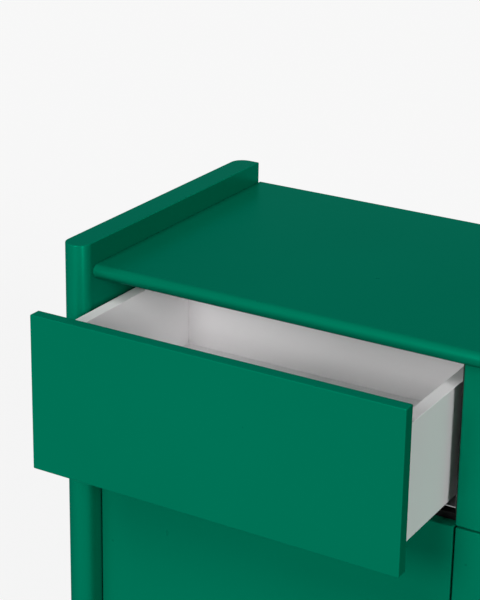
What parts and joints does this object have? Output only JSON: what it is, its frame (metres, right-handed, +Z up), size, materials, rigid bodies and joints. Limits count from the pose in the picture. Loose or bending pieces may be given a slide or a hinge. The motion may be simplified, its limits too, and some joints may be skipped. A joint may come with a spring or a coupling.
{
  "type": "sideboard",
  "caption": "Green lacquered sideboard with handleless push-to-open drawers between two thick end panels with half-round edges.",
  "frame": {"origin": "floor level, under the middle of the sideboard's box with the upper left drawer open as stored", "axes": "+X to the right seen from the front, +Y to the back, +Z up"},
  "size_m": [1.028, 0.525, 0.728],
  "materials": {
    "green_lacquer": "satin emerald green lacquer on fibreboard",
    "box_board": "matt light grey laminated board",
    "carcass_board": "matt black laminated board",
    "runner_steel": "zinc plated sheet steel",
    "cam_zinc": "die-cast zinc, nickel plated",
    "bolt_steel": "bright zinc plated steel",
    "shoe_nylon": "natural nylon",
    "clip_plastic": "grey moulded plastic",
    "opener_plastic": "grey moulded plastic",
    "glide_plastic": "black moulded plastic"
  },
  "bodies": {
    "cabinet": {"left_end_panel": "green_lacquer", "right_end_panel": "green_lacquer", "top": "green_lacquer", "bottom_panel": "carcass_board", "divider": "carcass_board", "left_mid_rail": "carcass_board", "right_mid_rail": "carcass_board", "back_panel": "carcass_board", "floor_glides": "glide_plastic", "cams": "cam_zinc", "cam_bolts": "bolt_steel", "back_screws": "bolt_steel", "runner_screws": "bolt_steel", "push_openers": "opener_plastic", "lower_left_cabinet_members": "runner_steel", "upper_left_cabinet_members": "runner_steel", "lower_right_cabinet_members": "runner_steel", "upper_right_cabinet_members": "runner_steel"},
    "lower_left_drawer": {"lower_left_front": "green_lacquer", "lower_left_box_left_side": "box_board", "lower_left_box_right_side": "box_board", "lower_left_box_back": "box_board", "lower_left_box_bottom": "box_board", "lower_left_front_fittings": "cam_zinc", "lower_left_front_clips": "clip_plastic", "lower_left_drawer_members": "runner_steel"},
    "lower_left_middle": {"lower_left_middle_members": "runner_steel", "lower_left_glide_shoes": "shoe_nylon"},
    "upper_left_drawer": {"upper_left_front": "green_lacquer", "upper_left_box_left_side": "box_board", "upper_left_box_right_side": "box_board", "upper_left_box_back": "box_board", "upper_left_box_bottom": "box_board", "upper_left_front_fittings": "cam_zinc", "upper_left_front_clips": "clip_plastic", "upper_left_drawer_members": "runner_steel"},
    "upper_left_middle": {"upper_left_middle_members": "runner_steel", "upper_left_glide_shoes": "shoe_nylon"},
    "lower_right_drawer": {"lower_right_front": "green_lacquer", "lower_right_box_left_side": "box_board", "lower_right_box_right_side": "box_board", "lower_right_box_back": "box_board", "lower_right_box_bottom": "box_board", "lower_right_front_fittings": "cam_zinc", "lower_right_front_clips": "clip_plastic", "lower_right_drawer_members": "runner_steel"},
    "lower_right_middle": {"lower_right_middle_members": "runner_steel", "lower_right_glide_shoes": "shoe_nylon"},
    "upper_right_drawer": {"upper_right_front": "green_lacquer", "upper_right_box_left_side": "box_board", "upper_right_box_right_side": "box_board", "upper_right_box_back": "box_board", "upper_right_box_bottom": "box_board", "upper_right_front_fittings": "cam_zinc", "upper_right_front_clips": "clip_plastic", "upper_right_drawer_members": "runner_steel"},
    "upper_right_middle": {"upper_right_middle_members": "runner_steel", "upper_right_glide_shoes": "shoe_nylon"}
  },
  "joints": [
    {"name": "lower_left_drawer_slide", "type": "slide", "parent": "cabinet", "child": "lower_left_drawer", "axis": [0, -1, 0], "range_m": [-0.0025, 0.29]},
    {"name": "lower_left_middle_slide", "type": "slide", "parent": "cabinet", "child": "lower_left_middle", "axis": [0, -1, 0], "range_m": [-0.0013, 0.14505]},
    {"name": "upper_left_drawer_slide", "type": "slide", "parent": "cabinet", "child": "upper_left_drawer", "axis": [0, -1, 0], "range_m": [-0.1405, 0.152]},
    {"name": "upper_left_middle_slide", "type": "slide", "parent": "cabinet", "child": "upper_left_middle", "axis": [0, -1, 0], "range_m": [-0.0703, 0.07605]},
    {"name": "lower_right_drawer_slide", "type": "slide", "parent": "cabinet", "child": "lower_right_drawer", "axis": [0, -1, 0], "range_m": [-0.0025, 0.29]},
    {"name": "lower_right_middle_slide", "type": "slide", "parent": "cabinet", "child": "lower_right_middle", "axis": [0, -1, 0], "range_m": [-0.0013, 0.14505]},
    {"name": "upper_right_drawer_slide", "type": "slide", "parent": "cabinet", "child": "upper_right_drawer", "axis": [0, -1, 0], "range_m": [-0.0025, 0.29]},
    {"name": "upper_right_middle_slide", "type": "slide", "parent": "cabinet", "child": "upper_right_middle", "axis": [0, -1, 0], "range_m": [-0.0013, 0.14505]}
  ],
  "couplings": [
    {"joint": "lower_left_middle_slide", "follows": "lower_left_drawer_slide", "ratio": 0.5},
    {"joint": "upper_left_middle_slide", "follows": "upper_left_drawer_slide", "ratio": 0.5},
    {"joint": "lower_right_middle_slide", "follows": "lower_right_drawer_slide", "ratio": 0.5},
    {"joint": "upper_right_middle_slide", "follows": "upper_right_drawer_slide", "ratio": 0.5}
  ]
}
